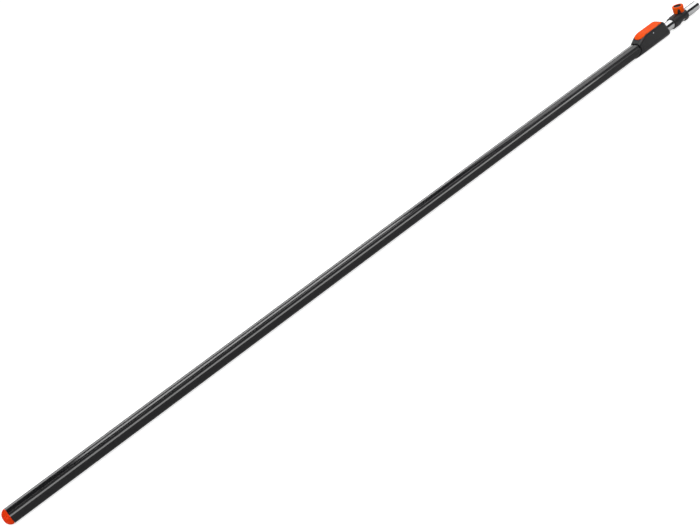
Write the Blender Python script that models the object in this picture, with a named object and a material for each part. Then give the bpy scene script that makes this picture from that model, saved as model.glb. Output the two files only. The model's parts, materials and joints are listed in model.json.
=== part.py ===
"""Telescopic garden-tool handle: a coated outer tube, a lock housing with a rocking
release lever, a chromed inner tube and a clamp screw for the tool's stem.

Metres, +Z up.  The pole lies along X with its tool end at +X and its lever on top.
Pieces are drawn from the butt (x = 0) and from the pole's axis (z = 0), under one empty
that puts the middle of the pole over the origin and its underside on z = 0.
"""
import math

import bmesh
import bpy
from mathutils import Matrix, Vector

# Clearances
SEAT_GAP = 0.0003
SLIDE_GAP = 0.00035
SIDE_GAP = 0.0005
END_GAP = 0.001

# Inner tube and its tail bush
INNER_RADIUS = 0.0130
INNER_WALL = 0.00125
TOOL_END_REACH = 0.132
TAIL_START = 0.036
TAIL_FLANGE = 0.012
TAIL_SPIGOT = 0.026
TAIL_RIVET_RADIUS = 0.002
TAIL_RIVET_DEPTH = 0.0045
TAIL_RIVET_OFFSET = 0.013

# Outer tube: a body with a narrower rail along its top
OUTER_TUBE_LENGTH = 1.8846
TUBE_ROOM = 0.0006
TUBE_WALL = 0.0015
RAIL_STEP = 0.0028
BELLY_RADIUS = 0.0112
SHOULDER_RADIUS = 0.0022
RAIL_FOOT_RADIUS = 0.0010
RAIL_RADIUS = 0.0045
LEAST_FILLET = 0.0001

# End cap
CAP_DOME = 0.0134
CAP_SPIGOT = 0.020
CAP_TIP_SHARE = 0.42

# Lock: holes along the inner tube, a sprung bolt and a rocking lever
LOCK_STEPS = 7
LAST_HOLE_REACH = 0.0737
LOCK_HOLE_RADIUS = 0.004
BOLT_RADIUS = 0.0035
BOLT_TIP_CHAMFER = 0.0007
BOLT_NECK_RADIUS = 0.002
BOLT_NECK_LENGTH = 0.003
BOLT_PLAY = 0.0008
BOLT_HEAD_RADIUS = 0.0042
BOLT_HEAD_HEIGHT = 0.0019
BOLT_ARM = 0.029
BOLT_WEB = 0.0022
PIN_RADIUS = 0.002
PIN_INSET = 0.0002
PIN_BOSS_RADIUS = 0.0042
PIN_FROM_REAR = 0.073
LEVER_REAR_ARM = 0.0435
LEVER_FRONT_ARM = 0.040
LEVER_HEIGHT = 0.0098
LEVER_LIP = 0.0017
LEVER_PROUD = 0.0005
LEVER_REAR_FLAT = 0.0005
LEVER_FRONT_RADIUS = 0.003
PRESS_ROOM = 0.0027
SPRING_ARM = 0.023
SPRING_RADIUS = 0.0026
SPRING_WIRE = 0.0007
SPRING_COILS = 4
SPRING_POINTS_PER_COIL = 9
SPRING_POCKET_RADIUS = 0.0042
SPRING_POCKET_DEPTH = 0.0051

# Screws that hold the housing to the tube
HOUSING_SCREW_OFFSETS = (0.027, 0.047)
SCREW_SHANK_RADIUS = 0.002
SCREW_HEAD_RADIUS = 0.0036
SCREW_HEAD_HEIGHT = 0.0012
SCREW_SINK = 0.0003
SCREW_WEB = 0.0009

# Lock housing
TUBE_GRIP = 0.058
HOUSING_WALL = 0.0029
RIM_WALL = 0.0028
MOUTH_WALL = 0.0012
LIP_WALL = 0.0020
MOUTH_TOP_RADIUS = 0.010
MOUTH_TOP_REACH = 0.0165
MOUTH_SIDE_REACH = 0.0225
MOUTH_SIDE_DROP = 0.004
MOUTH_RADIUS = 0.014
RAMP_START = 0.0175
RAMP_LENGTH = 0.036
NOSE_WALL = 0.0034
NOSE_LEAN = 0.42
HOUSING_EDGE = 0.008
FRONT_INSET = 0.0020
HOUSING_TOP_RADIUS = 0.006
HOUSING_BELLY_FLAT = 0.003
FLOOR_WEB = 0.0021
SOCKET_WEB = 0.0024
PIT_STEP = 0.0002

# Guide bush in the front of the housing
BUSH_WALL = 0.0012
BUSH_RECESS = 0.001
BUSH_TO_BOLT = 0.0025

# Coupling sleeve and clamp screw
SLEEVE_LENGTH = 0.055
SLEEVE_WALL = 0.0022
SLEEVE_TO_TIP = 0.048
SLEEVE_CHAMFER = 0.0006
SADDLE_HALF_WIDTH = 0.0078
SADDLE_LIFT = 0.0003
SADDLE_SETBACK = 0.0045
SADDLE_RADIUS = 0.0022
BOSS_RADIUS = 0.0098
BOSS_LIFT = 0.0005
CLAMP_TO_TIP = 0.0655
WINDOW_RADIUS = 0.0125
WINDOW_OFFSET = -0.003
WINDOW_TOP = 0.0025
INSERT_WALL = 0.0016
CLAMP_SCREW_RADIUS = 0.0039
CLAMP_SCREW_GRIP = 0.009
STUB_RADIUS = 0.0019
STUB_LENGTH = 0.0016
PAD_RADIUS = 0.0037
PAD_HEIGHT = 0.003
PAD_REACH = 0.003
KNOB_RADIUS = 0.0150
KNOB_HEIGHT = 0.0165
KNOB_LOBES = 4
KNOB_FLUTE_TOP = 0.0008
KNOB_FLUTE_BASE = 0.0050
KNOB_EDGE = 0.0014
KNOB_RECESS_RADIUS = 0.0098
KNOB_RECESS_DEPTH = 0.0055

# Plug that joins the two chromed tubes under the sleeve and stops the tool's stem
SPLIT_COVER = 0.006
PLUG_REACH = 0.012

# Facets
FILLET_STEPS = 4
HOUSING_STEPS = 7
ROUND_STEPS = 48
SMALL_ROUND_STEPS = 24
DOME_STEPS = 6
RAMP_STEPS = 7
EDGE_STEPS = 3

# Sections that follow from the sizes above, each built up from the tube inside it
INNER_BORE = INNER_RADIUS - INNER_WALL
GUIDE_RADIUS = INNER_RADIUS + SEAT_GAP
BORE_RADIUS = INNER_RADIUS + 2 * SLIDE_GAP
BUSH_RADIUS = GUIDE_RADIUS + BUSH_WALL
SLEEVE_RADIUS = GUIDE_RADIUS + SLEEVE_WALL
SADDLE_RISE = SLEEVE_RADIUS + SADDLE_LIFT
BOSS_RISE = SLEEVE_RADIUS + BOSS_LIFT
TUBE_HALF_WIDTH = INNER_RADIUS + TUBE_ROOM + TUBE_WALL
TUBE_DROP = TUBE_HALF_WIDTH
TUBE_RISE = TUBE_HALF_WIDTH
RAIL_HALF_WIDTH = TUBE_HALF_WIDTH - RAIL_STEP
SHOULDER_HEIGHT = (math.sqrt(2) - 1) * TUBE_HALF_WIDTH
HOUSING_HALF_WIDTH = TUBE_HALF_WIDTH + HOUSING_WALL
HOUSING_DROP = TUBE_DROP + 2 * SEAT_GAP + SCREW_WEB + SCREW_HEAD_HEIGHT + SCREW_SINK
MOUTH_TOP = TUBE_RISE + MOUTH_WALL
BOLT_FLOOR = BORE_RADIUS + BOLT_WEB
LEVER_FLOOR = TUBE_RISE + SEAT_GAP + FLOOR_WEB
LEVER_UNDERSIDE = LEVER_FLOOR + PRESS_ROOM
HOUSING_CREST = LEVER_UNDERSIDE + LEVER_HEIGHT
LEVER_HALF_WIDTH = HOUSING_HALF_WIDTH - RIM_WALL - SIDE_GAP
LEVER_REAR_RADIUS = LEVER_HALF_WIDTH - LEVER_REAR_FLAT
PIN_HEIGHT = BOLT_FLOOR + PIN_BOSS_RADIUS + 2 * SEAT_GAP
PIN_HALF_LENGTH = HOUSING_HALF_WIDTH - PIN_INSET

# Places along the pole that follow from the sizes above
TUBE_START = CAP_DOME + SEAT_GAP
TUBE_END = CAP_DOME + OUTER_TUBE_LENGTH
HOUSING_REAR = TUBE_END - TUBE_GRIP
PIN_X = HOUSING_REAR + PIN_FROM_REAR
BOLT_X = PIN_X + BOLT_ARM
SPRING_X = PIN_X - SPRING_ARM
LEVER_REAR = PIN_X - LEVER_REAR_ARM
LEVER_FRONT = PIN_X + LEVER_FRONT_ARM
HOUSING_FRONT = LEVER_FRONT + END_GAP + NOSE_WALL + NOSE_LEAN * HOUSING_CREST
BUSH_REAR = BOLT_X + BOLT_RADIUS + BUSH_TO_BOLT
BUSH_FRONT = HOUSING_FRONT - NOSE_LEAN * BUSH_RADIUS - BUSH_RECESS
POLE_END = HOUSING_FRONT + TOOL_END_REACH
INNER_START = TAIL_START + TAIL_FLANGE + SEAT_GAP
LOCK_PITCH = (BOLT_X - INNER_START - LAST_HOLE_REACH) / LOCK_STEPS
SLEEVE_FRONT = POLE_END - SLEEVE_TO_TIP
SLEEVE_REAR = SLEEVE_FRONT - SLEEVE_LENGTH
CLAMP_X = POLE_END - CLAMP_TO_TIP
SPLIT_X = SLEEVE_REAR + SPLIT_COVER

# Heights of the lock's and the clamp's small pieces
BOLT_TIP = INNER_RADIUS + SLIDE_GAP
BOLT_SHOULDER = LEVER_UNDERSIDE - BOLT_PLAY
BOLT_HEAD_BASE = BOLT_SHOULDER + BOLT_NECK_LENGTH
BOLT_TOP = BOLT_HEAD_BASE + BOLT_HEAD_HEIGHT
KEYHOLE_FLOOR = LEVER_UNDERSIDE + LEVER_LIP
KEYHOLE_ROOF = BOLT_TOP + 2 * SEAT_GAP
KEYHOLE_ENTRY = BOLT_X - 2 * BOLT_HEAD_RADIUS - 2 * SIDE_GAP
INSERT_BORE = CLAMP_SCREW_RADIUS + SEAT_GAP
INSERT_RADIUS = INSERT_BORE + INSERT_WALL
INSERT_TOP = BOSS_RISE - SEAT_GAP
PAD_BASE = INNER_BORE - PAD_REACH
PAD_TOP = PAD_BASE + PAD_HEIGHT
CLAMP_TIP = PAD_TOP + SEAT_GAP
KNOB_BASE = BOSS_RISE + SEAT_GAP
THROUGH = 0.06


def clear_scene():
    for thing in list(bpy.data.objects):
        bpy.data.objects.remove(thing, do_unlink=True)


def material(name, colour, roughness, metallic=0.0):
    made = bpy.data.materials.new(name)
    made.use_nodes = True
    shader = made.node_tree.nodes["Principled BSDF"]
    shader.inputs["Base Color"].default_value = (*colour, 1.0)
    shader.inputs["Roughness"].default_value = roughness
    shader.inputs["Metallic"].default_value = metallic
    made.diffuse_color = (*colour, 1.0)
    return made


def fillet_outline(corners, steps):
    """Outline of (y, z) points with an arc of `steps` at each (y, z, radius) corner."""
    points = []
    for i, (y, z, radius) in enumerate(corners):
        here = Vector((y, z))
        before = (Vector(corners[i - 1][:2]) - here).normalized()
        after = (Vector(corners[(i + 1) % len(corners)][:2]) - here).normalized()
        half = before.angle(after) / 2
        centre = here + (before + after).normalized() * radius / math.sin(half)
        start = here + before * radius / math.tan(half) - centre
        end = here + after * radius / math.tan(half) - centre
        first = math.atan2(start.y, start.x)
        sweep = math.atan2(end.y, end.x) - first
        sweep = (sweep + math.pi) % (2 * math.pi) - math.pi
        for step in range(steps + 1):
            angle = first + sweep * step / steps
            points.append((centre.x + radius * math.cos(angle), centre.y + radius * math.sin(angle)))
    return points


def tube_outline(inset):
    """The outer tube's section, moved inwards by `inset`."""
    fall = inset * math.tan(math.pi / 8)
    step_in = TUBE_HALF_WIDTH - RAIL_HALF_WIDTH
    body = TUBE_HALF_WIDTH - inset
    rail = RAIL_HALF_WIDTH - inset
    shoulder = SHOULDER_HEIGHT - fall
    right = [
        (body, inset - TUBE_DROP, max(BELLY_RADIUS - inset, LEAST_FILLET)),
        (body, shoulder, max(SHOULDER_RADIUS - inset, LEAST_FILLET)),
        (rail, shoulder + step_in, max(RAIL_FOOT_RADIUS + inset, LEAST_FILLET)),
        (rail, TUBE_RISE - inset, max(RAIL_RADIUS - inset, LEAST_FILLET)),
    ]
    left = [(-y, z, radius) for y, z, radius in reversed(right)]
    return fillet_outline(right + left, FILLET_STEPS)


def along_x(outline, x, lean=0.0):
    return [Vector((x - lean * z, y, z)) for y, z in outline]


def circle(radius, steps):
    turns = [2 * math.pi * (i + 0.5) / steps for i in range(steps)]
    return [(radius * math.cos(turn), radius * math.sin(turn)) for turn in turns]


def loft(rings, closed=False):
    """A skin through rings of points; its ends are filled, or joined when `closed`."""
    mesh = bmesh.new()
    loops = [[mesh.verts.new(point) for point in ring] for ring in rings]
    pairs = list(zip(loops, loops[1:]))
    if closed:
        pairs.append((loops[-1], loops[0]))
    else:
        mesh.faces.new(loops[0])
        mesh.faces.new(loops[-1])
    for near, far in pairs:
        for i in range(len(near)):
            j = (i + 1) % len(near)
            mesh.faces.new((near[i], near[j], far[j], far[i]))
    bmesh.ops.recalc_face_normals(mesh, faces=mesh.faces)
    return mesh


def turned(profile, steps, closed=False):
    """A solid of revolution about Z from (radius, height) points."""
    mesh = bmesh.new()
    verts = [mesh.verts.new((radius, 0.0, height)) for radius, height in profile]
    edges = [mesh.edges.new(pair) for pair in zip(verts, verts[1:])]
    if closed:
        edges.append(mesh.edges.new((verts[-1], verts[0])))
    bmesh.ops.spin(mesh, geom=verts + edges, axis=(0, 0, 1), cent=(0, 0, 0),
                   angle=2 * math.pi, steps=steps, use_merge=True)
    bmesh.ops.remove_doubles(mesh, verts=mesh.verts, dist=1e-6)
    bmesh.ops.recalc_face_normals(mesh, faces=mesh.faces)
    return mesh


def rod(radius, low, high, steps=SMALL_ROUND_STEPS):
    return turned([(0, low), (radius, low), (radius, high), (0, high)], steps)


def plan_block(rear, front, half_width, low, high, rear_radius, front_radius=None):
    """A block on a rectangle in plan with rounded corners."""
    fore = rear_radius if front_radius is None else front_radius
    corners = [(front, -half_width, fore), (front, half_width, fore),
               (rear, half_width, rear_radius), (rear, -half_width, rear_radius)]
    plan = fillet_outline(corners, HOUSING_STEPS)
    return loft([[Vector((x, y, z)) for x, y in plan] for z in (low, high)])


def add_object(name, mesh, parent, finish=None, place=(0, 0, 0), turn=None):
    """Make an object from a bmesh, turned about its own origin and placed under `parent`."""
    if turn is not None:
        bmesh.ops.transform(mesh, matrix=turn, verts=mesh.verts)
    data = bpy.data.meshes.new(name)
    mesh.to_mesh(data)
    mesh.free()
    thing = bpy.data.objects.new(name, data)
    bpy.context.collection.objects.link(thing)
    thing.parent = parent
    thing.location = place
    if finish is None:
        thing.hide_render = True
        thing.display_type = "WIRE"
        return thing
    data.materials.append(finish)
    data.shade_smooth()
    data.set_sharp_from_angle(angle=math.radians(30))
    return thing


def combine(target, tool, operation):
    step = target.modifiers.new(f"{operation.lower()} {tool.name}", "BOOLEAN")
    step.operation = operation
    step.solver = "EXACT"
    step.object = tool


def drill(target, name, place, radius, low, high, turn=None):
    """Cut a round hole along Z, or along the axis that `turn` gives."""
    tool = add_object(name, rod(radius, low, high), target.parent, None, place, turn)
    combine(target, tool, "DIFFERENCE")


TO_X = Matrix.Rotation(math.pi / 2, 4, "Y")
TO_Y = Matrix.Rotation(-math.pi / 2, 4, "X")
TO_MINUS_Y = Matrix.Rotation(math.pi / 2, 4, "X")


def make_outer_tube(axis, finish):
    outside = tube_outline(0)
    inside = tube_outline(TUBE_WALL)
    rings = [along_x(outside, TUBE_START), along_x(outside, TUBE_END),
             along_x(inside, TUBE_END), along_x(inside, TUBE_START)]
    tube = add_object("outer_tube", loft(rings, closed=True), axis, finish)
    for number, offset in enumerate(HOUSING_SCREW_OFFSETS, 1):
        drill(tube, f"tube_screw_hole_{number}", (HOUSING_REAR + offset, 0, 0),
              SCREW_SHANK_RADIUS + SEAT_GAP, -2 * TUBE_DROP, -TUBE_DROP / 2)


def make_end_cap(axis, finish):
    skin = tube_outline(0)
    spigot = tube_outline(TUBE_WALL + SEAT_GAP)
    rings = []
    for step in range(DOME_STEPS + 1):
        lift = math.radians(90) * step / DOME_STEPS
        share = CAP_TIP_SHARE + (1 - CAP_TIP_SHARE) * math.sin(lift)
        ring = [(y * share, z * share) for y, z in skin]
        rings.append(along_x(ring, CAP_DOME * (1 - math.cos(lift))))
    rings.append(along_x(spigot, CAP_DOME))
    rings.append(along_x(spigot, CAP_DOME + CAP_SPIGOT))
    add_object("end_cap", loft(rings), axis, finish)


def housing_section(top, bottom, half_width, top_radius):
    belly_radius = half_width - HOUSING_BELLY_FLAT
    corners = [(half_width, bottom, belly_radius), (half_width, top, top_radius),
               (-half_width, top, top_radius), (-half_width, bottom, belly_radius)]
    return fillet_outline(corners, HOUSING_STEPS)


def housing_form(proud=0.0):
    """The moulded outside of the housing: mouth, ramp, flat crest and leaning front."""
    mouth_top = MOUTH_TOP + proud
    mouth_half = TUBE_HALF_WIDTH + MOUTH_WALL
    lip = housing_section(mouth_top, -TUBE_DROP - LIP_WALL, mouth_half, MOUTH_TOP_RADIUS)
    rings = [along_x(lip, HOUSING_REAR)]
    for step in range(RAMP_STEPS + 1):
        share = step / RAMP_STEPS
        rise = math.sin(share * math.pi / 2)
        top = mouth_top + (HOUSING_CREST - MOUTH_TOP) * rise
        half = mouth_half + (HOUSING_HALF_WIDTH - mouth_half) * rise
        radius = MOUTH_TOP_RADIUS + (HOUSING_TOP_RADIUS - MOUTH_TOP_RADIUS) * rise
        section = housing_section(top, -HOUSING_DROP, half, radius)
        rings.append(along_x(section, HOUSING_REAR + RAMP_START + share * RAMP_LENGTH))
    for step in range(EDGE_STEPS + 1):
        turn = math.radians(90) * step / EDGE_STEPS
        inset = FRONT_INSET * (1 - math.cos(turn))
        top = HOUSING_CREST + proud - inset
        section = housing_section(top, inset - HOUSING_DROP, HOUSING_HALF_WIDTH - inset, HOUSING_TOP_RADIUS)
        rings.append(along_x(section, HOUSING_FRONT - HOUSING_EDGE * (1 - math.sin(turn)), NOSE_LEAN))
    return loft(rings)


def mouth_cutter():
    """A block across the housing that leaves a lip below and hollows the mouth's sides."""
    far = HOUSING_REAR - THROUGH
    low = -HOUSING_DROP - LIP_WALL
    corners = [(far, HOUSING_CREST, LEAST_FILLET), (HOUSING_REAR + MOUTH_TOP_REACH, HOUSING_CREST, LEAST_FILLET),
               (HOUSING_REAR + MOUTH_SIDE_REACH, -MOUTH_SIDE_DROP, MOUTH_RADIUS), (HOUSING_REAR, low, LEAST_FILLET),
               (far, low, LEAST_FILLET)]
    profile = fillet_outline(corners, HOUSING_STEPS)
    return loft([[Vector((x, y, z)) for x, z in profile] for y in (-THROUGH, THROUGH)])


def make_housing(axis, finish):
    housing = add_object("lock_housing", housing_form(), axis, finish)
    socket_end = TUBE_END + SEAT_GAP
    socket = tube_outline(-SEAT_GAP)
    rings = [along_x(socket, HOUSING_REAR - THROUGH), along_x(socket, socket_end)]
    combine(housing, add_object("tube_socket", loft(rings), axis), "DIFFERENCE")
    combine(housing, add_object("mouth_cut", mouth_cutter(), axis), "DIFFERENCE")
    bore = rod(BORE_RADIUS, -THROUGH / 4, HOUSING_FRONT - HOUSING_REAR, ROUND_STEPS)
    combine(housing, add_object("through_bore", bore, axis, None, (socket_end, 0, 0), TO_X), "DIFFERENCE")
    seat = rod(BUSH_RADIUS + SEAT_GAP, -SEAT_GAP, THROUGH, ROUND_STEPS)
    combine(housing, add_object("bush_seat", seat, axis, None, (BUSH_REAR, 0, 0), TO_X), "DIFFERENCE")
    half = LEVER_HALF_WIDTH + SIDE_GAP
    well = plan_block(LEVER_REAR - END_GAP, LEVER_FRONT + END_GAP, half, LEVER_FLOOR, THROUGH,
                      LEVER_REAR_RADIUS + SIDE_GAP, LEVER_FRONT_RADIUS + SIDE_GAP)
    combine(housing, add_object("lever_well", well, axis), "DIFFERENCE")
    pit = plan_block(TUBE_END + SOCKET_WEB, LEVER_FRONT + END_GAP - PIT_STEP, half - PIT_STEP, BOLT_FLOOR,
                     PIN_HEIGHT, LEVER_FRONT_RADIUS)
    combine(housing, add_object("bolt_pit", pit, axis), "DIFFERENCE")
    drill(housing, "bolt_bore", (BOLT_X, 0, 0), BOLT_RADIUS + SEAT_GAP, INNER_RADIUS / 2, PIN_HEIGHT)
    drill(housing, "pin_bore", (PIN_X, 0, PIN_HEIGHT), PIN_RADIUS + SEAT_GAP, -THROUGH, THROUGH, TO_Y)
    sink = SCREW_SINK + SCREW_HEAD_HEIGHT + SEAT_GAP
    hole = SCREW_SHANK_RADIUS + SEAT_GAP
    wide = SCREW_HEAD_RADIUS + SEAT_GAP
    profile = [(0, -HOUSING_DROP), (wide, -HOUSING_DROP), (wide, sink), (hole, sink), (hole, HOUSING_DROP / 2),
               (0, HOUSING_DROP / 2)]
    for number, offset in enumerate(HOUSING_SCREW_OFFSETS, 1):
        place = (HOUSING_REAR + offset, 0, -HOUSING_DROP)
        stepped = add_object(f"screw_sink_{number}", turned(profile, SMALL_ROUND_STEPS), axis, None, place)
        combine(housing, stepped, "DIFFERENCE")


def make_guide_bush(axis, finish):
    length = BUSH_FRONT - BUSH_REAR
    profile = [(GUIDE_RADIUS, 0), (BUSH_RADIUS, 0), (BUSH_RADIUS, length), (GUIDE_RADIUS, length)]
    add_object("guide_bush", turned(profile, ROUND_STEPS, closed=True), axis, finish, (BUSH_REAR, 0, 0), TO_X)


def make_housing_screws(axis, finish):
    head_low = SCREW_SINK
    head_high = SCREW_SINK + SCREW_HEAD_HEIGHT
    tip = HOUSING_DROP - TUBE_DROP + TUBE_WALL - SEAT_GAP / 2
    slot = SCREW_HEAD_RADIUS / 2
    profile = [(0, head_low + SCREW_SINK), (slot, head_low + SCREW_SINK), (slot, head_low),
               (SCREW_HEAD_RADIUS, head_low), (SCREW_HEAD_RADIUS, head_high),
               (SCREW_SHANK_RADIUS, head_high), (SCREW_SHANK_RADIUS, tip), (0, tip)]
    for number, offset in enumerate(HOUSING_SCREW_OFFSETS, 1):
        add_object(f"housing_screw_{number}", turned(profile, SMALL_ROUND_STEPS), axis, finish,
                   (HOUSING_REAR + offset, 0, -HOUSING_DROP))


def make_lever(axis, finish):
    """The lever keeps the housing's crown: its block is cut to the housing's form."""
    pivot = bpy.data.objects.new("lever_pivot", None)
    bpy.context.collection.objects.link(pivot)
    pivot.parent = axis
    pivot.location = (PIN_X, 0, PIN_HEIGHT)
    block = plan_block(-LEVER_REAR_ARM, LEVER_FRONT_ARM, LEVER_HALF_WIDTH, LEVER_UNDERSIDE - PIN_HEIGHT,
                       HOUSING_CREST, LEVER_REAR_RADIUS, LEVER_FRONT_RADIUS)
    lever = add_object("release_lever", block, pivot, finish)
    crown = add_object("lever_crown", housing_form(LEVER_PROUD), axis)
    combine(lever, crown, "INTERSECT")
    boss = rod(PIN_BOSS_RADIUS, -LEVER_HALF_WIDTH + SEAT_GAP, LEVER_HALF_WIDTH - SEAT_GAP)
    combine(lever, add_object("pin_boss", boss, pivot, None, (0, 0, 0), TO_Y), "UNION")
    drill(lever, "lever_pin_hole", (0, 0, 0), PIN_RADIUS + SEAT_GAP, -THROUGH, THROUGH, TO_Y)
    pocket_top = LEVER_UNDERSIDE + SPRING_POCKET_DEPTH - PIN_HEIGHT
    drill(lever, "spring_pocket", (-SPRING_ARM, 0, 0), SPRING_POCKET_RADIUS, -PIN_BOSS_RADIUS, pocket_top)
    floor = KEYHOLE_FLOOR - PIN_HEIGHT
    roof = KEYHOLE_ROOF - PIN_HEIGHT
    entry = KEYHOLE_ENTRY - PIN_X
    wide = BOLT_HEAD_RADIUS + SIDE_GAP
    narrow = BOLT_NECK_RADIUS + SIDE_GAP
    head_room = plan_block(entry - wide, BOLT_ARM + wide, wide, floor, roof, wide - LEAST_FILLET)
    combine(lever, add_object("head_room", head_room, pivot), "DIFFERENCE")
    neck_slot = plan_block(entry, BOLT_ARM + narrow, narrow, -PIN_BOSS_RADIUS, (floor + roof) / 2,
                           narrow - LEAST_FILLET)
    combine(lever, add_object("neck_slot", neck_slot, pivot), "DIFFERENCE")
    drill(lever, "head_entry", (entry, 0, 0), wide - SEAT_GAP / 2, -PIN_BOSS_RADIUS, (floor + roof) / 2)


def make_lever_pin(axis, finish):
    add_object("lever_pin", rod(PIN_RADIUS, -PIN_HALF_LENGTH, PIN_HALF_LENGTH), axis, finish,
               (PIN_X, 0, PIN_HEIGHT), TO_Y)


def make_lock_bolt(axis, finish):
    profile = [(0, 0), (BOLT_RADIUS - BOLT_TIP_CHAMFER, 0), (BOLT_RADIUS, BOLT_TIP_CHAMFER),
               (BOLT_RADIUS, BOLT_SHOULDER - BOLT_TIP), (BOLT_NECK_RADIUS, BOLT_SHOULDER - BOLT_TIP),
               (BOLT_NECK_RADIUS, BOLT_HEAD_BASE - BOLT_TIP), (BOLT_HEAD_RADIUS, BOLT_HEAD_BASE - BOLT_TIP),
               (BOLT_HEAD_RADIUS, BOLT_TOP - BOLT_TIP), (0, BOLT_TOP - BOLT_TIP)]
    add_object("lock_bolt", turned(profile, SMALL_ROUND_STEPS), axis, finish, (BOLT_X, 0, BOLT_TIP))


def make_lever_spring(axis, finish):
    """A compression spring between the floor of the lever's well and the lever's pocket."""
    low = LEVER_FLOOR + SEAT_GAP + SPRING_WIRE / 2
    high = LEVER_UNDERSIDE + SPRING_POCKET_DEPTH - SEAT_GAP - SPRING_WIRE / 2
    count = SPRING_COILS * SPRING_POINTS_PER_COIL
    points = []
    for i in range(count + 1):
        turn = 2 * math.pi * i / SPRING_POINTS_PER_COIL
        points.append(Vector((SPRING_RADIUS * math.cos(turn), SPRING_RADIUS * math.sin(turn),
                              low + (high - low) * i / count)))
    apart = SPRING_POINTS_PER_COIL // 2
    least = min((points[i] - points[j]).length for i in range(count + 1) for j in range(i + apart, count + 1))
    print(f"lever_spring: least gap between coils {1000 * (least - SPRING_WIRE):.2f} mm")
    curve = bpy.data.curves.new("lever_spring", "CURVE")
    curve.dimensions = "3D"
    curve.bevel_depth = SPRING_WIRE / 2
    curve.bevel_resolution = 1
    curve.use_fill_caps = True
    spline = curve.splines.new("POLY")
    spline.points.add(count)
    for point, place in zip(spline.points, points):
        point.co = (*place, 1.0)
    curve.materials.append(finish)
    spring = bpy.data.objects.new("lever_spring", curve)
    bpy.context.collection.objects.link(spring)
    spring.parent = axis
    spring.location = (SPRING_X, 0, 0)


def chromed_tube(name, start, end, axis, finish):
    rings = [along_x(circle(radius, ROUND_STEPS), x)
             for radius, x in ((INNER_RADIUS, start), (INNER_RADIUS, end), (INNER_BORE, end), (INNER_BORE, start))]
    return add_object(name, loft(rings, closed=True), axis, finish)


def make_inner_tube(axis, finish):
    tube = chromed_tube("inner_tube", INNER_START, SPLIT_X, axis, finish)
    for step in range(LOCK_STEPS + 1):
        drill(tube, f"lock_hole_{step}", (BOLT_X - step * LOCK_PITCH, 0, 0), LOCK_HOLE_RADIUS,
              INNER_BORE / 2, 2 * INNER_RADIUS)
    drill(tube, "rivet_hole", (INNER_START + TAIL_RIVET_OFFSET, 0, 0), TAIL_RIVET_RADIUS + SEAT_GAP,
          -2 * INNER_RADIUS, 2 * INNER_RADIUS, TO_Y)


def make_socket_tube(axis, finish):
    tube = chromed_tube("socket_tube", SPLIT_X + SEAT_GAP, POLE_END, axis, finish)
    drill(tube, "clamp_hole", (CLAMP_X, 0, 0), CLAMP_SCREW_RADIUS + 2 * SEAT_GAP, INNER_BORE / 2, 2 * INNER_RADIUS)


def make_tail_bush(axis, finish):
    """A plug in the inner tube's tail, whose flange follows the outer tube's bore."""
    flange = tube_outline(TUBE_WALL + SLIDE_GAP)
    rings = [along_x(flange, TAIL_START), along_x(flange, TAIL_START + TAIL_FLANGE)]
    bush = add_object("tail_bush", loft(rings), axis, finish)
    flange_middle = TAIL_START + TAIL_FLANGE / 2
    spigot = rod(INNER_BORE - SEAT_GAP, 0, TAIL_FLANGE / 2 + TAIL_SPIGOT, ROUND_STEPS)
    combine(bush, add_object("tail_spigot", spigot, axis, None, (flange_middle, 0, 0), TO_X), "UNION")
    depth = INNER_RADIUS - TAIL_RIVET_DEPTH - SEAT_GAP
    for side, turn in (("left", TO_Y), ("right", TO_MINUS_Y)):
        drill(bush, f"rivet_bore_{side}", (INNER_START + TAIL_RIVET_OFFSET, 0, 0),
              TAIL_RIVET_RADIUS + SEAT_GAP, depth, 2 * INNER_RADIUS, turn)


def make_tail_rivets(axis, finish):
    for number, turn in enumerate((TO_Y, TO_MINUS_Y), 1):
        pin = rod(TAIL_RIVET_RADIUS, INNER_RADIUS - TAIL_RIVET_DEPTH, INNER_RADIUS)
        add_object(f"tail_rivet_{number}", pin, axis, finish, (INNER_START + TAIL_RIVET_OFFSET, 0, 0), turn)


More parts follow.
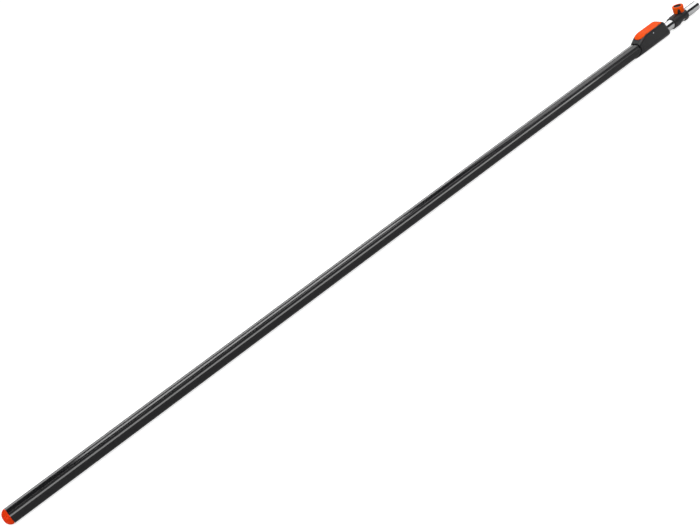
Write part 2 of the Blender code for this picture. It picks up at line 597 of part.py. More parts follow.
def make_coupling_sleeve(axis, finish):
    """A moulded sleeve on the chromed tube, with a saddle and boss for the clamp screw."""
    edge = SLEEVE_RADIUS - SLEEVE_CHAMFER
    rings = [along_x(circle(radius, ROUND_STEPS), x)
             for radius, x in ((edge, SLEEVE_REAR), (SLEEVE_RADIUS, SLEEVE_REAR + SLEEVE_CHAMFER),
                               (SLEEVE_RADIUS, SLEEVE_FRONT - SLEEVE_CHAMFER), (edge, SLEEVE_FRONT))]
    sleeve = add_object("coupling_sleeve", loft(rings), axis, finish)
    corners = [(SADDLE_HALF_WIDTH, 0, LEAST_FILLET), (SADDLE_HALF_WIDTH, SADDLE_RISE, SADDLE_RADIUS),
               (-SADDLE_HALF_WIDTH, SADDLE_RISE, SADDLE_RADIUS), (-SADDLE_HALF_WIDTH, 0, LEAST_FILLET)]
    saddle = fillet_outline(corners, FILLET_STEPS)
    saddle_rings = [along_x(saddle, SLEEVE_REAR + SADDLE_SETBACK), along_x(saddle, CLAMP_X)]
    combine(sleeve, add_object("saddle", loft(saddle_rings), axis), "UNION")
    boss = rod(BOSS_RADIUS, 0, BOSS_RISE, ROUND_STEPS)
    combine(sleeve, add_object("boss", boss, axis, None, (CLAMP_X, 0, 0)), "UNION")
    bore = rod(GUIDE_RADIUS, -THROUGH, THROUGH, ROUND_STEPS)
    middle = (SLEEVE_REAR + SLEEVE_FRONT) / 2
    combine(sleeve, add_object("sleeve_bore", bore, axis, None, (middle, 0, 0), TO_X), "DIFFERENCE")
    window = rod(WINDOW_RADIUS, -THROUGH, THROUGH, ROUND_STEPS)
    place = (CLAMP_X + WINDOW_OFFSET, 0, -WINDOW_TOP - WINDOW_RADIUS)
    combine(sleeve, add_object("sleeve_window", window, axis, None, place, TO_Y), "DIFFERENCE")
    drill(sleeve, "insert_seat", (CLAMP_X, 0, 0), INSERT_RADIUS + SEAT_GAP, INNER_BORE, THROUGH)


def make_screw_insert(axis, finish):
    profile = [(INSERT_BORE, GUIDE_RADIUS), (INSERT_RADIUS, GUIDE_RADIUS), (INSERT_RADIUS, INSERT_TOP),
               (INSERT_BORE, INSERT_TOP)]
    add_object("screw_insert", turned(profile, SMALL_ROUND_STEPS, closed=True), axis, finish, (CLAMP_X, 0, 0))


def make_socket_stop(axis, finish):
    """A plug in both chromed tubes, whose front the tool's stem bottoms on."""
    add_object("socket_stop", rod(INNER_BORE - SEAT_GAP, -PLUG_REACH, PLUG_REACH, ROUND_STEPS), axis, finish,
               (SPLIT_X, 0, 0), TO_X)


def make_thrust_pad(axis, finish):
    bore = STUB_RADIUS + SEAT_GAP
    floor = PAD_HEIGHT - STUB_LENGTH
    profile = [(0, 0), (PAD_RADIUS, 0), (PAD_RADIUS, PAD_HEIGHT), (bore, PAD_HEIGHT), (bore, floor), (0, floor)]
    add_object("thrust_pad", turned(profile, SMALL_ROUND_STEPS), axis, finish, (CLAMP_X, 0, PAD_BASE))


def make_clamp_screw(axis, finish):
    top = KNOB_BASE + CLAMP_SCREW_GRIP
    stub_end = CLAMP_TIP - STUB_LENGTH
    profile = [(0, stub_end), (STUB_RADIUS, stub_end), (STUB_RADIUS, CLAMP_TIP), (CLAMP_SCREW_RADIUS, CLAMP_TIP),
               (CLAMP_SCREW_RADIUS, top), (0, top)]
    add_object("clamp_screw", turned(profile, SMALL_ROUND_STEPS), axis, finish, (CLAMP_X, 0, 0))


def knob_outline(edge, flute):
    """A lobed outline: `flute` deep between the lobes, `edge` in from the knob's radius."""
    points = []
    for i in range(ROUND_STEPS):
        turn = 2 * math.pi * i / ROUND_STEPS
        dip = (0.5 - 0.5 * math.cos(KNOB_LOBES * turn)) ** 2
        radius = KNOB_RADIUS - edge - flute * dip
        points.append((radius * math.cos(turn), radius * math.sin(turn)))
    return points


def make_thumb_knob(axis, finish):
    hole = circle(CLAMP_SCREW_RADIUS + SEAT_GAP, ROUND_STEPS)
    recess = circle(KNOB_RECESS_RADIUS, ROUND_STEPS)
    roof = CLAMP_SCREW_GRIP + SEAT_GAP
    middle = (KNOB_FLUTE_TOP + KNOB_FLUTE_BASE) / 2
    levels = [(hole, roof), (hole, 0), (knob_outline(KNOB_EDGE, KNOB_FLUTE_BASE), 0),
              (knob_outline(0, KNOB_FLUTE_BASE), KNOB_EDGE),
              (knob_outline(0, middle), KNOB_HEIGHT / 2),
              (knob_outline(0, KNOB_FLUTE_TOP), KNOB_HEIGHT - 2 * KNOB_EDGE),
              (knob_outline(KNOB_EDGE, KNOB_FLUTE_TOP), KNOB_HEIGHT),
              (recess, KNOB_HEIGHT), (recess, KNOB_HEIGHT - KNOB_RECESS_DEPTH)]
    rings = [[Vector((x, y, z)) for x, y in outline] for outline, z in levels]
    add_object("thumb_knob", loft(rings), axis, finish, (CLAMP_X, 0, KNOB_BASE))


def main():
    clear_scene()
    axis = bpy.data.objects.new("pole_axis", None)
    bpy.context.collection.objects.link(axis)
    axis.location = (-POLE_END / 2, 0, HOUSING_DROP)
    coat = material("black_coat", (0.018, 0.019, 0.020), 0.32)
    moulding = material("black_moulding", (0.022, 0.022, 0.023), 0.45)
    orange = material("orange_plastic", (0.80, 0.12, 0.012), 0.38)
    chrome = material("chromed_tube", (0.80, 0.81, 0.82), 0.08, 1.0)
    steel = material("bright_steel", (0.62, 0.63, 0.65), 0.25, 1.0)
    brass = material("turned_brass", (0.78, 0.57, 0.25), 0.30, 1.0)
    nylon = material("pale_nylon", (0.62, 0.61, 0.57), 0.50)
    make_outer_tube(axis, coat)
    make_end_cap(axis, orange)
    make_housing(axis, moulding)
    make_guide_bush(axis, nylon)
    make_housing_screws(axis, steel)
    make_lever(axis, orange)
    make_lever_pin(axis, steel)
    make_lock_bolt(axis, steel)
    make_lever_spring(axis, steel)
    make_inner_tube(axis, chrome)
    make_socket_tube(axis, chrome)
    make_tail_bush(axis, nylon)
    make_tail_rivets(axis, steel)
    make_coupling_sleeve(axis, moulding)
    make_screw_insert(axis, brass)
    make_socket_stop(axis, nylon)
    make_thrust_pad(axis, brass)
    make_clamp_screw(axis, steel)
    make_thumb_knob(axis, orange)


main()
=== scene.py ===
import json
import math
import bmesh
import bpy
from mathutils import Matrix, Vector
from mathutils.bvhtree import BVHTree


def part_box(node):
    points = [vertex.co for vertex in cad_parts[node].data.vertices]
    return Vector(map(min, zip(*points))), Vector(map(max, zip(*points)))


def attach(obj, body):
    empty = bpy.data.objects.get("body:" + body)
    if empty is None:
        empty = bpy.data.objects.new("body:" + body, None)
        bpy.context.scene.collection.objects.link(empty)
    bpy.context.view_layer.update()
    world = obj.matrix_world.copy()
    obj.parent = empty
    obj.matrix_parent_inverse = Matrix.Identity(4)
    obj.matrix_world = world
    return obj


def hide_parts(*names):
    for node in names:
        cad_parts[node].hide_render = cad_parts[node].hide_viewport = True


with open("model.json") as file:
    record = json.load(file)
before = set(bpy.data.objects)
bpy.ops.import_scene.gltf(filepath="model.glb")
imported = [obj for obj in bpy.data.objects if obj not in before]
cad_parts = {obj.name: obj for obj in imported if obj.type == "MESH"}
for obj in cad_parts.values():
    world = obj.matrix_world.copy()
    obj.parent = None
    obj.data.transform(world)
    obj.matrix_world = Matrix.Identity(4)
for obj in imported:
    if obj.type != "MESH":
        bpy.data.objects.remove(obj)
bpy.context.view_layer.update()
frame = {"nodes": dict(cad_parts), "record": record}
nodes = frame["nodes"]
record = frame["record"]
bpy.context.scene.view_settings.view_transform = "Standard"
print("frame: CAD nodes", len(nodes))


def addObject(name, data):
    thing = bpy.data.objects.new(name, data)
    bpy.context.scene.collection.objects.link(thing)
    return thing


def meshData(name, mesh):
    data = bpy.data.meshes.new(name)
    mesh.to_mesh(data)
    mesh.free()
    return data


# camera: the pole runs from the lower left, near, to the upper right, far
cameraPlace = {
    "axisX": -0.1735,              # where the view's centre meets the pole, metres from its middle
    "axisZ": 0.0181,               # height of the pole's axis over the floor
    "distance": 2.3376,
    "swing": math.radians(21.9),   # how far the view is turned along the pole
    "lift": math.radians(31.0),    # how far it looks down on the pole
    "roll": math.radians(36.692),  # slope of the pole in the picture
    "drop": 0.0037,
    "lens": 54.67,
    "sensor": 36.0,
}


def addCamera():
    c = cameraPlace
    alongPole = Vector((1, 0, 0))
    outward = Vector((0, -math.cos(c["lift"]), math.sin(c["lift"])))
    upward = Vector((0, math.sin(c["lift"]), math.cos(c["lift"])))
    sight = alongPole * math.sin(c["swing"]) - outward * math.cos(c["swing"])
    sideways = alongPole * math.cos(c["swing"]) + outward * math.sin(c["swing"])
    target = Vector((c["axisX"], 0, c["axisZ"])) - upward * c["drop"]
    right = sideways * math.cos(c["roll"]) - upward * math.sin(c["roll"])
    over = sideways * math.sin(c["roll"]) + upward * math.cos(c["roll"])
    turn = Matrix((right, over, -sight)).transposed()
    data = bpy.data.cameras.new("camera")
    data.lens = c["lens"]
    data.sensor_width = c["sensor"]
    camera = addObject("camera", data)
    camera.matrix_world = Matrix.Translation(target - sight * c["distance"]) @ turn.to_4x4()
    bpy.context.scene.camera = camera


addCamera()
print("camera: set")

noiseBand = (0.3, 0.7)   # the part of a noise's range that carries most of it


def newFinish(name, metallic, specular=0.5):
    finish = bpy.data.materials.new(name)
    finish.use_nodes = True
    tree = finish.node_tree
    shader = tree.nodes["Principled BSDF"]
    shader.inputs["Metallic"].default_value = metallic
    shader.inputs["Specular IOR Level"].default_value = specular
    return finish, tree, shader


def placeOn(tree, stretch=(1, 1, 1)):
    where = tree.nodes.new("ShaderNodeTexCoord")
    mapping = tree.nodes.new("ShaderNodeMapping")
    mapping.inputs["Scale"].default_value = stretch
    tree.links.new(where.outputs["Object"], mapping.inputs["Vector"])
    return mapping.outputs["Vector"]


def noiseOn(tree, vector, scale, detail=3.0, rough=0.55):
    noise = tree.nodes.new("ShaderNodeTexNoise")
    noise.inputs["Scale"].default_value = scale
    noise.inputs["Detail"].default_value = detail
    noise.inputs["Roughness"].default_value = rough
    tree.links.new(vector, noise.inputs["Vector"])
    return noise.outputs["Fac"]


def ramp(tree, value, band, lowColour, highColour):
    colours = tree.nodes.new("ShaderNodeValToRGB")
    for stop, place, colour in zip(colours.color_ramp.elements, band, (lowColour, highColour)):
        stop.position = place
        stop.color = (*colour, 1)
    tree.links.new(value, colours.inputs["Fac"])
    return colours.outputs["Color"]


def spread(tree, value, low, high, start=0.0, end=1.0):
    fit = tree.nodes.new("ShaderNodeMapRange")
    fit.inputs["From Min"].default_value = start
    fit.inputs["From Max"].default_value = end
    fit.inputs["To Min"].default_value = low
    fit.inputs["To Max"].default_value = high
    tree.links.new(value, fit.inputs["Value"])
    return fit.outputs["Result"]


def combine(tree, operation, first, second):
    node = tree.nodes.new("ShaderNodeMath")
    node.operation = operation
    tree.links.new(first, node.inputs[0])
    tree.links.new(second, node.inputs[1])
    return node.outputs[0]


def bumpOn(tree, shader, height, distance, strength):
    bump = tree.nodes.new("ShaderNodeBump")
    bump.inputs["Distance"].default_value = distance
    bump.inputs["Strength"].default_value = strength
    tree.links.new(height, bump.inputs["Height"])
    tree.links.new(bump.outputs["Normal"], shader.inputs["Normal"])


# satin black coat on drawn aluminium: faint draw lines along the tube
blackCoat = {
    "dark": (0.006, 0.006, 0.007), "light": (0.011, 0.011, 0.012), "gloss": (0.07, 0.13), "specular": 0.45,
    "lines": 420.0, "lineStretch": (0.02, 1, 1), "lineDetail": 4.0, "clouds": 60.0, "bump": (0.00004, 0.15),
}


def makeBlackCoat():
    s = blackCoat
    finish, tree, shader = newFinish("black_coat_finish", 0.0, s["specular"])
    drawn = noiseOn(tree, placeOn(tree, s["lineStretch"]), s["lines"], s["lineDetail"])
    cloud = noiseOn(tree, placeOn(tree), s["clouds"])
    tree.links.new(ramp(tree, cloud, noiseBand, s["dark"], s["light"]), shader.inputs["Base Color"])
    tree.links.new(spread(tree, drawn, *s["gloss"]), shader.inputs["Roughness"])
    bumpOn(tree, shader, drawn, *s["bump"])
    return finish


# spark-textured black moulding: a fine even grain
blackMoulding = {
    "dark": (0.005, 0.005, 0.006), "light": (0.015, 0.015, 0.017), "gloss": (0.36, 0.52), "specular": 0.55,
    "grain": 1700.0, "grainDetail": 2.0, "clouds": 90.0, "bump": (0.0002, 0.35),
}


def makeBlackMoulding():
    s = blackMoulding
    finish, tree, shader = newFinish("black_moulding_finish", 0.0, s["specular"])
    place = placeOn(tree)
    grain = noiseOn(tree, place, s["grain"], s["grainDetail"])
    cloud = noiseOn(tree, place, s["clouds"])
    tree.links.new(ramp(tree, grain, noiseBand, s["dark"], s["light"]), shader.inputs["Base Color"])
    tree.links.new(spread(tree, cloud, *s["gloss"]), shader.inputs["Roughness"])
    bumpOn(tree, shader, grain, *s["bump"])
    return finish


# satin orange moulding: slight flow marks in the colour, a fine matt skin; the cap has a redder copy of it,
# painted light standing in for how the cap is lit, though it is the same plastic
orangePlastic = {
    "dark": (0.86, 0.072, 0.001), "light": (0.93, 0.102, 0.002), "gloss": (0.42, 0.54), "specular": 0.08,
    "flow": 55.0, "flowBand": (0.35, 0.68), "skin": 2200.0, "skinDetail": 2.0, "bump": (0.0001, 0.2),
}
# painted light: the cap's copy is redder only to stand in for how the cap is lit
capPaintedLight = {**orangePlastic, "dark": (0.90, 0.040, 0.002), "light": (0.96, 0.062, 0.004)}


def makeOrangePlastic(name, s):
    finish, tree, shader = newFinish(name, 0.0, s["specular"])
    place = placeOn(tree)
    flow = noiseOn(tree, place, s["flow"])
    skin = noiseOn(tree, place, s["skin"], s["skinDetail"])
    tree.links.new(ramp(tree, flow, s["flowBand"], s["dark"], s["light"]), shader.inputs["Base Color"])
    tree.links.new(spread(tree, flow, *s["gloss"]), shader.inputs["Roughness"])
    bumpOn(tree, shader, skin, *s["bump"])
    return finish


# bright chrome over drawn steel
chromedTube = {
    "dark": (0.66, 0.665, 0.67), "light": (0.75, 0.755, 0.76), "gloss": (0.045, 0.10),
    "lines": 500.0, "lineStretch": (0.03, 1, 1), "clouds": 35.0,
}


def makeChrome():
    s = chromedTube
    finish, tree, shader = newFinish("chrome_finish", 1.0)
    drawn = noiseOn(tree, placeOn(tree, s["lineStretch"]), s["lines"])
    cloud = noiseOn(tree, placeOn(tree), s["clouds"])
    tree.links.new(ramp(tree, cloud, noiseBand, s["dark"], s["light"]), shader.inputs["Base Color"])
    tree.links.new(spread(tree, drawn, *s["gloss"]), shader.inputs["Roughness"])
    return finish


# turned or drawn small metal parts, and plain nylon
smallFinishes = {
    "bright_steel": {"dark": (0.50, 0.51, 0.53), "light": (0.66, 0.67, 0.69), "metallic": 1.0,
                     "gloss": (0.18, 0.34), "grain": 900.0},
    "turned_brass": {"dark": (0.66, 0.45, 0.17), "light": (0.80, 0.58, 0.26), "metallic": 1.0,
                     "gloss": (0.20, 0.36), "grain": 800.0},
    "pale_nylon": {"dark": (0.55, 0.54, 0.50), "light": (0.66, 0.65, 0.61), "metallic": 0.0,
                   "gloss": (0.42, 0.58), "grain": 300.0},
}
smallGrain = {"stretch": (0.2, 1, 1), "bump": (0.00005, 0.2)}


def makeSmallFinish(slot):
    s = smallFinishes[slot]
    finish, tree, shader = newFinish(slot + "_finish", s["metallic"])
    grain = noiseOn(tree, placeOn(tree, smallGrain["stretch"]), s["grain"])
    tree.links.new(ramp(tree, grain, noiseBand, s["dark"], s["light"]), shader.inputs["Base Color"])
    tree.links.new(spread(tree, grain, *s["gloss"]), shader.inputs["Roughness"])
    bumpOn(tree, shader, grain, *smallGrain["bump"])
    return finish


finishes = {
    "black_coat": makeBlackCoat(),
    "black_moulding": makeBlackMoulding(),
    "orange_plastic": makeOrangePlastic("orange_plastic_finish", orangePlastic),
    "chromed_tube": makeChrome(),
    **{slot: makeSmallFinish(slot) for slot in smallFinishes},
}
slotOf = {subpart["node"]: subpart["material_slot"] for subpart in record["subparts"]}
bodyOf = {name: body for body, names in record["behaviour"]["bodies"].items() for name in names}
for name, slot in slotOf.items():
    nodes[name].data.materials.clear()
    nodes[name].data.materials.append(finishes[slot])
print("finishes:", len(finishes))

shadeWeight = 80   # large faces keep their own shading beside a rounded edge


def addPiece(name, mesh, slot, body, sharpAngle=None, finish=None):
    data = meshData(name, mesh)
    data.shade_smooth()
    data.materials.append(finish or finishes[slot])
    piece = addObject(name, data)
    level = piece.modifiers.new("even shading", "WEIGHTED_NORMAL")
    level.weight = shadeWeight
    if sharpAngle is not None:
        data.set_sharp_from_angle(angle=math.radians(sharpAngle))
        level.keep_sharp = True
    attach(piece, body)
    return piece


def standFor(name, mesh, sharpAngle=None, finish=None):
    # a finished piece takes the node's place, body and slot
    piece = addPiece(name + "_fine", mesh, slotOf[name], bodyOf[name], sharpAngle, finish)
    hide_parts(name)


# moulded and turned pieces whose CAD shape is right: their sharp edges are rounded
edgeRounds = {
    "lock_housing": {"round": 0.0003, "weld": 0.00001},
    "release_lever": {"round": 0.0003, "weld": 0.00014, "even": True},
    "coupling_sleeve": {"round": 0.0005, "weld": 0.00006},
    "guide_bush": {"round": 0.0002, "weld": 0.00001},
    "lever_pin": {"round": 0.0003, "weld": 0.00001},
    "lock_bolt": {"round": 0.0002, "weld": 0.00001},
    "housing_screw_1": {"round": 0.00015, "weld": 0.00001},
    "housing_screw_2": {"round": 0.00015, "weld": 0.00001},
    "socket_stop": {"round": 0.0005, "weld": 0.00001},
    "screw_insert": {"round": 0.0002, "weld": 0.00001},
    "thrust_pad": {"round": 0.0003, "weld": 0.00001},
    "clamp_screw": {"round": 0.0003, "weld": 0.00001},
    "tail_bush": {"round": 0.0004, "weld": 0.00004},
    "tail_rivet_1": {"round": 0.0003, "weld": 0.00001},
    "tail_rivet_2": {"round": 0.0003, "weld": 0.00001},
}
rounding = {
    "sharpFrom": math.radians(35), "flatBelow": math.radians(0.6), "steps": 3,
    "strayLimit": 0.8,   # share of the rounding that a point may leave the skin by
    "weldAfter": 0.000002, "halfCut": 0.000001, "halfWeld": 0.000005,
}


def mergedCopy(name, weld):
    mesh = bmesh.new()
    mesh.from_mesh(nodes[name].data)
    bmesh.ops.remove_doubles(mesh, verts=mesh.verts, dist=weld)
    bmesh.ops.dissolve_degenerate(mesh, dist=weld / 2, edges=mesh.edges)
    bmesh.ops.dissolve_limit(mesh, angle_limit=rounding["flatBelow"], verts=mesh.verts, edges=mesh.edges)
    bmesh.ops.connect_verts_concave(mesh, faces=mesh.faces)   # so a face round an opening doesn't close it
    return mesh


def sharpEdges(mesh):
    return [e for e in mesh.edges if len(e.link_faces) == 2 and e.calc_face_angle() > rounding["sharpFrom"]]


def wholeOf(mesh):
    return mesh.verts[:] + mesh.edges[:] + mesh.faces[:]


def makeEven(mesh):
    # the near half is kept and mirrored across the pole's middle plane
    bmesh.ops.bisect_plane(mesh, geom=wholeOf(mesh), plane_co=(0, 0, 0), plane_no=(0, 1, 0),
                           dist=rounding["halfCut"], clear_outer=True)
    bmesh.ops.mirror(mesh, geom=wholeOf(mesh), axis="Y", merge_dist=rounding["halfWeld"])
    bmesh.ops.recalc_face_normals(mesh, faces=mesh.faces)


def makeRounded(name):
    s = edgeRounds[name]
    mesh = mergedCopy(name, s["weld"])
    skin = BVHTree.FromBMesh(mesh)
    bmesh.ops.bevel(mesh, geom=sharpEdges(mesh), offset=s["round"], offset_type="OFFSET",
                    segments=rounding["steps"], profile=0.5, affect="EDGES", clamp_overlap=False, material=-1)
    for v in mesh.verts:   # a point thrown off at a tight corner goes back to the skin
        spot, _, _, away = skin.find_nearest(v.co)
        if away > s["round"] * rounding["strayLimit"]:
            v.co = spot
    bmesh.ops.remove_doubles(mesh, verts=mesh.verts, dist=rounding["weldAfter"])
    if s.get("even"):
        makeEven(mesh)
    standFor(name, mesh)


for name in edgeRounds:
    makeRounded(name)
print("rounded pieces:", len(edgeRounds))

# the chromed tubes keep their shape, with even shading for a clean reflection
chromedShape = {"pieces": ("inner_tube", "socket_tube"), "weld": 0.00001, "sharp": 30}
for name in chromedShape["pieces"]:
    standFor(name, mergedCopy(name, chromedShape["weld"]), chromedShape["sharp"])
print("chromed tubes:", len(chromedShape["pieces"]))

# outer tube and end cap: one section with a narrower, slightly crowned rail along its top
tubeShape = {
    "half": 0.0151, "railStep": 0.0028, "wall": 0.0015, "axisZ": 0.0181, "crownSlope": math.radians(8),
    "belly": (0.0112, 12), "shoulder": (0.0004, 5), "foot": (0.0003, 3), "rail": (0.0020, 8),   # round, steps
    "crown": (0.0101, 10), "sharp": 38,
}
capShape = {"dome": 0.0134, "tipShare": 0.12, "spigot": 0.020, "steps": 16, "gap": 0.0003, "sharp": 40}


def tubeSection(mesh, x):
    s = tubeShape
    half, rail = s["half"], s["half"] - s["railStep"]
    shoulder = (math.sqrt(2) - 1) * half
    ridge = half + s["crown"][0] * math.sin(s["crownSlope"]) / 2   # its rounding brings it down to half
    edge = ridge - rail * math.tan(s["crownSlope"])
    side = [(half, -half), (half, shoulder), (rail, shoulder + s["railStep"]), (rail, edge)]
    outline = side + [(0, ridge)] + [(-y, z) for y, z in reversed(side)]
    face = mesh.faces.new([mesh.verts.new((x, y, z + s["axisZ"])) for y, z in outline])
    corners = list(face.verts)
    last = len(corners) - 1
    for place, corner in enumerate(("belly", "shoulder", "foot", "rail", "crown")):
        size, steps = s[corner]
        pair = [corners[i] for i in sorted({place, last - place})]   # the crown has one corner, not two
        bmesh.ops.bevel(mesh, geom=pair, offset=size, offset_type="OFFSET", segments=steps, profile=0.5,
                        affect="VERTICES", clamp_overlap=False, material=-1)
    return mesh.faces[:][0]


def extrudeFace(mesh, face):
    region = [face, *face.edges, *face.verts]   # with its edges, so the old face goes where walls meet it
    made = bmesh.ops.extrude_face_region(mesh, geom=region)["geom"]
    return next(part for part in made if isinstance(part, bmesh.types.BMFace))


def makeOuterTube():
    low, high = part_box("outer_tube")
    mesh = bmesh.new()
    face = tubeSection(mesh, low[0])
    bmesh.ops.inset_individual(mesh, faces=[face], thickness=tubeShape["wall"], use_even_offset=True)
    bmesh.ops.delete(mesh, geom=[face], context="FACES_ONLY")
    made = bmesh.ops.extrude_face_region(mesh, geom=mesh.faces[:])["geom"]
    far = [part for part in made if isinstance(part, bmesh.types.BMVert)]
    bmesh.ops.translate(mesh, verts=far, vec=(high[0] - low[0], 0, 0))
    bmesh.ops.recalc_face_normals(mesh, faces=mesh.faces)
    standFor("outer_tube", mesh, tubeShape["sharp"])


def makeEndCap():
    s = capShape
    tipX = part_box("end_cap")[0][0]
    mesh = bmesh.new()
    face, share = tubeSection(mesh, tipX + s["dome"]), 1.0
    centre = Matrix.Translation((0, 0, -tubeShape["axisZ"]))
    for step in range(1, s["steps"] + 1):
        lift = math.radians(90) * (1 - step / s["steps"])
        wanted = s["tipShare"] + (1 - s["tipShare"]) * math.sin(lift)
        face = extrudeFace(mesh, face)
        bmesh.ops.scale(mesh, verts=face.verts, vec=(1, wanted / share, wanted / share), space=centre)
        x = tipX + s["dome"] * (1 - math.cos(lift))
        bmesh.ops.translate(mesh, verts=face.verts, vec=(x - face.verts[0].co.x, 0, 0))
        share = wanted
    back = max(mesh.faces, key=lambda f: f.calc_center_median().x)
    bmesh.ops.inset_individual(mesh, faces=[back], thickness=tubeShape["wall"] + s["gap"], use_even_offset=True)
    plug = extrudeFace(mesh, back)
    bmesh.ops.translate(mesh, verts=plug.verts, vec=(s["spigot"], 0, 0))
    bmesh.ops.recalc_face_normals(mesh, faces=mesh.faces)
    # the cap's redder finish is painted light, not a different plastic
    standFor("end_cap", mesh, s["sharp"], makeOrangePlastic("cap_painted_light_finish", capPaintedLight))


makeOuterTube()
makeEndCap()
print("outer tube and end cap: made")

# clamp knob: an orange lobed shell with four arches in its skirt, over a black core that shows in them as painted
# shade, and a black liner in the hollow on its top
knobShape = {
    "radius": 0.0150, "lobes": 4, "waist": 0.0007, "footRound": 0.0010, "headRound": 0.0022,
    "hollow": 0.0098, "hollowDepth": 0.0040, "lipRound": 0.0007, "cavity": 0.0108, "cavityDepth": 0.0105,
    "archHalf": 0.0046, "archTall": 0.0120, "archPoints": 48, "points": 192, "wallSteps": 16, "roundSteps": 5,
    "weld": 0.00001, "sharp": 35,
}
# painted shade: the core is black so the arches in the skirt show dark, as shade inside them would
shadeCoreShape = {
    "radius": 0.0094, "bore": 0.0042, "foot": 0.0006, "top": 0.0103, "lid": 0.0001, "round": 0.0008, "sharp": 50,
}
linerShape = {
    "radius": 0.0097, "wall": 0.0006, "floor": 0.0010, "below": 0.0006, "gap": 0.00004, "round": 0.0003,
    "sharp": 50,
}


def knobPlace():
    low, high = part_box("thumb_knob")
    return Vector(((low[0] + high[0]) / 2, 0, low[2])), high[2] - low[2]


def lobed(inset, z):
    s = knobShape
    return (lambda turn: s["radius"] - inset - s["waist"] * (0.5 - 0.5 * math.cos(s["lobes"] * turn))), z


def plain(size, z):
    return (lambda turn: size), z


def setRing(verts, level):
    sizeAt, z = level
    for v in verts:
        turn = math.atan2(v.co.y, v.co.x)
        v.co = Vector((sizeAt(turn) * math.cos(turn), sizeAt(turn) * math.sin(turn), z))


def ringStack(levels):
    # rings drawn out of each other; the first and the last are closed
    mesh = bmesh.new()
    bmesh.ops.create_circle(mesh, cap_ends=True, segments=knobShape["points"], radius=knobShape["radius"])
    face = mesh.faces[:][0]
    setRing(face.verts, levels[0])
    for level in levels[1:]:
        face = extrudeFace(mesh, face)
        setRing(face.verts, level)
    bmesh.ops.recalc_face_normals(mesh, faces=mesh.faces)
    return mesh


def quarterTurn():
    steps = knobShape["roundSteps"]
    return [math.radians(90) * i / steps for i in range(steps + 1)]


def knobBody():
    s = knobShape
    foot, head, lip, cavity = s["footRound"], s["headRound"], s["lipRound"], s["cavity"]
    height = knobPlace()[1]
    rise = height - foot - head
    quarter = quarterTurn()
    levels = [plain(cavity, s["cavityDepth"]), plain(cavity, foot)]
    levels += [plain(cavity + foot * (1 - math.cos(a)), foot * (1 - math.sin(a))) for a in quarter[1:]]
    levels += [lobed(foot * (1 - math.sin(a)), foot * (1 - math.cos(a))) for a in quarter]
    levels += [lobed(0, foot + rise * i / s["wallSteps"]) for i in range(1, s["wallSteps"])]
    levels += [lobed(head * (1 - math.cos(a)), height - head * (1 - math.sin(a))) for a in quarter]
    levels += [plain(s["hollow"] + lip * (1 - math.sin(a)), height - lip * (1 - math.cos(a))) for a in quarter]
    levels.append(plain(s["hollow"], height - s["hollowDepth"]))
    return ringStack(levels)


def archCutters():
    s = knobShape
    mesh = bmesh.new()
    middle = (s["cavity"] + s["radius"]) / 2
    length = 2 * (s["radius"] - s["cavity"])
    lie = Matrix.Translation((middle, 0, 0)) @ Matrix.Rotation(math.radians(90), 4, "Y")
    size = Matrix.Diagonal((s["archTall"], s["archHalf"], 1, 1))
    for i in range(s["lobes"]):
        turn = Matrix.Rotation(math.radians(180) / s["lobes"] * (2 * i + 1), 4, "Z")
        bmesh.ops.create_cone(mesh, cap_ends=True, segments=s["archPoints"], radius1=1, radius2=1, depth=length,
                              matrix=turn @ lie @ size)
    return mesh


def cutMesh(body, cutters):
    # the arches are cut by a boolean, and only its result is kept
    shell = addObject("knob_body", meshData("knob_body", body))
    cutter = addObject("knob_cutters", meshData("knob_cutters", cutters))
    cut = shell.modifiers.new("arches", "BOOLEAN")
    cut.operation, cut.solver, cut.object = "DIFFERENCE", "EXACT", cutter
    result = bmesh.new()
    result.from_object(shell, bpy.context.evaluated_depsgraph_get())
    for thing in (shell, cutter):
        data = thing.data
        bpy.data.objects.remove(thing)
        bpy.data.meshes.remove(data)
    return result


def makeKnob():
    mesh = cutMesh(knobBody(), archCutters())
    bmesh.ops.remove_doubles(mesh, verts=mesh.verts, dist=knobShape["weld"])
    bmesh.ops.translate(mesh, verts=mesh.verts, vec=knobPlace()[0])
    standFor("thumb_knob", mesh, knobShape["sharp"])


def makeShadeCore():
    s = shadeCoreShape
    levels = [plain(s["bore"], s["top"] - s["lid"]), plain(s["bore"], s["foot"]), plain(s["radius"], s["foot"])]
    levels += [plain(s["radius"] - s["round"] * (1 - math.cos(a)), s["top"] - s["round"] * (1 - math.sin(a)))
               for a in quarterTurn()]
    mesh = ringStack(levels)
    bmesh.ops.translate(mesh, verts=mesh.verts, vec=knobPlace()[0])
    # a black piece that stands in for the shade inside the arches
    addPiece("knob_shade_core", mesh, "black_moulding", "screw", s["sharp"])


def makeLiner():
    s = linerShape
    place, height = knobPlace()
    base = height - knobShape["hollowDepth"] + s["gap"]
    rim, inside = height - s["below"], s["radius"] - s["wall"]
    levels = [plain(s["radius"], base), plain(s["radius"], rim)]
    levels += [plain(inside + s["round"] * (1 - math.sin(a)), rim - s["round"] * (1 - math.cos(a)))
               for a in quarterTurn()]
    levels.append(plain(inside, base + s["floor"]))
    mesh = ringStack(levels)
    bmesh.ops.translate(mesh, verts=mesh.verts, vec=place)
    addPiece("knob_liner", mesh, "black_moulding", "screw", s["sharp"])


makeKnob()
makeShadeCore()
makeLiner()
print("knob, core and liner: made")

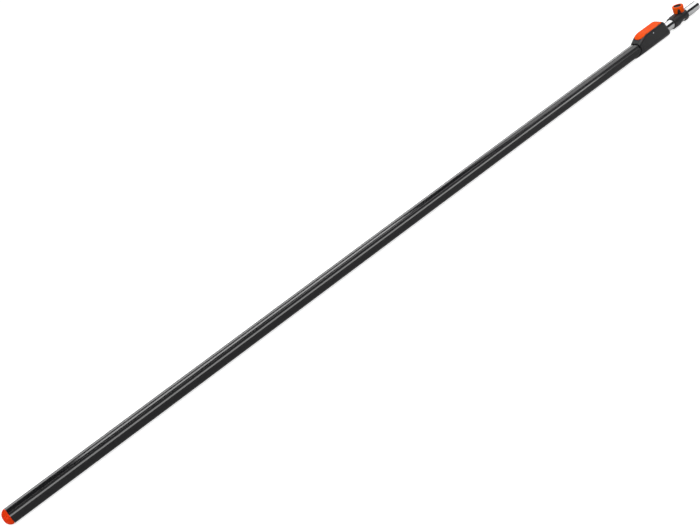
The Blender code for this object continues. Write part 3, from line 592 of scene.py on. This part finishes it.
# floor, lamps and room
studio = {
    "floorSize": 120.0,
    "floorColour": (0.52, 0.52, 0.52),
    "floorRough": 0.9,
    "floorLift": (0.80, 1.0),      # white added where the camera sees the floor, under the pole and far out
    "liftReach": (0.8, 3.5),       # metres from the pole's middle over which it grows
    "mirrorLift": 0.04,            # and where a mirror does
    "glow": (0.15, 0.15, 0.16),    # pale wall low round the room
    "roomDark": (0.035, 0.036, 0.038),
    "glowBand": (0.10, 0.42),      # height over which the wall turns dark
    "nearSide": 0.6,               # how much of the glow stands behind the camera
    "sideReach": (-0.6, 0.6),      # from the camera's side to the far side
}
softBoxes = {
    "top_box": {"size": (3.4, 4.05), "place": (3.8, 0.875, 1.8), "turn": (0, 0), "power": 57.0},
    "middle_strip": {"size": (2.05, 0.57), "place": (0.38, 2.31, 1.8), "turn": (0, 0), "power": 19.0},
    "key_box": {"size": (1.2, 1.2), "place": (0.8, -0.2, 1.9), "turn": (0, 0), "power": 14.0},
    "front_strip": {"size": (4.4, 0.5), "place": (0.0, -1.05, 1.7), "turn": (0, 0), "power": 38.0},
    "back_strip": {"size": (5.2, 0.55), "place": (1.3, 3.2, 1.43), "turn": (-90, 0), "power": 29.0},
    "left_fill": {"size": (1.0, 1.0), "place": (-2.9, -1.0, 1.0), "turn": (0, -60), "power": 26.0},
}


def addFloor():
    s = studio
    mesh = bmesh.new()
    bmesh.ops.create_grid(mesh, x_segments=2, y_segments=2, size=s["floorSize"] / 2)
    floor = addObject("floor", meshData("floor", mesh))
    finish, tree, shader = newFinish("floor_finish", 0.0, 0.0)
    shader.inputs["Base Color"].default_value = (*s["floorColour"], 1)
    shader.inputs["Roughness"].default_value = s["floorRough"]
    shader.inputs["Emission Color"].default_value = (1, 1, 1, 1)
    rays = tree.nodes.new("ShaderNodeLightPath").outputs
    far = tree.nodes.new("ShaderNodeVectorMath")
    far.operation = "LENGTH"
    tree.links.new(placeOn(tree), far.inputs[0])
    white = spread(tree, far.outputs["Value"], *s["floorLift"], *s["liftReach"])
    seen = combine(tree, "MULTIPLY", white, rays["Is Camera Ray"])
    mirror = combine(tree, "MAXIMUM", rays["Is Glossy Ray"], rays["Is Transmission Ray"])
    lift = combine(tree, "ADD", seen, spread(tree, mirror, 0.0, s["mirrorLift"]))
    tree.links.new(lift, shader.inputs["Emission Strength"])
    floor.data.materials.append(finish)


def addLamps():
    for name, s in softBoxes.items():
        data = bpy.data.lights.new(name, "AREA")
        data.shape = "RECTANGLE"
        data.size, data.size_y = s["size"]
        data.energy = s["power"]
        lamp = addObject(name, data)
        lamp.location = s["place"]
        lamp.rotation_euler = (math.radians(s["turn"][0]), math.radians(s["turn"][1]), 0)
        lamp.visible_camera = False


def addRoom():
    s = studio
    room = bpy.data.worlds.new("room")
    room.use_nodes = True
    tree = room.node_tree
    where = tree.nodes.new("ShaderNodeTexCoord")
    parts = tree.nodes.new("ShaderNodeSeparateXYZ")
    tree.links.new(where.outputs["Generated"], parts.inputs["Vector"])
    wall = tree.nodes["Background"]
    tree.links.new(ramp(tree, parts.outputs["Z"], s["glowBand"], s["glow"], s["roomDark"]), wall.inputs["Color"])
    tree.links.new(spread(tree, parts.outputs["Y"], s["nearSide"], 1.0, *s["sideReach"]), wall.inputs["Strength"])
    white = tree.nodes.new("ShaderNodeBackground")
    white.inputs["Color"].default_value = (1, 1, 1, 1)
    path = tree.nodes.new("ShaderNodeLightPath")
    choose = tree.nodes.new("ShaderNodeMixShader")
    tree.links.new(path.outputs["Is Camera Ray"], choose.inputs["Fac"])
    tree.links.new(wall.outputs["Background"], choose.inputs[1])
    tree.links.new(white.outputs["Background"], choose.inputs[2])
    tree.links.new(choose.outputs["Shader"], tree.nodes["World Output"].inputs["Surface"])
    bpy.context.scene.world = room


addFloor()
addLamps()
addRoom()
print("studio: set")
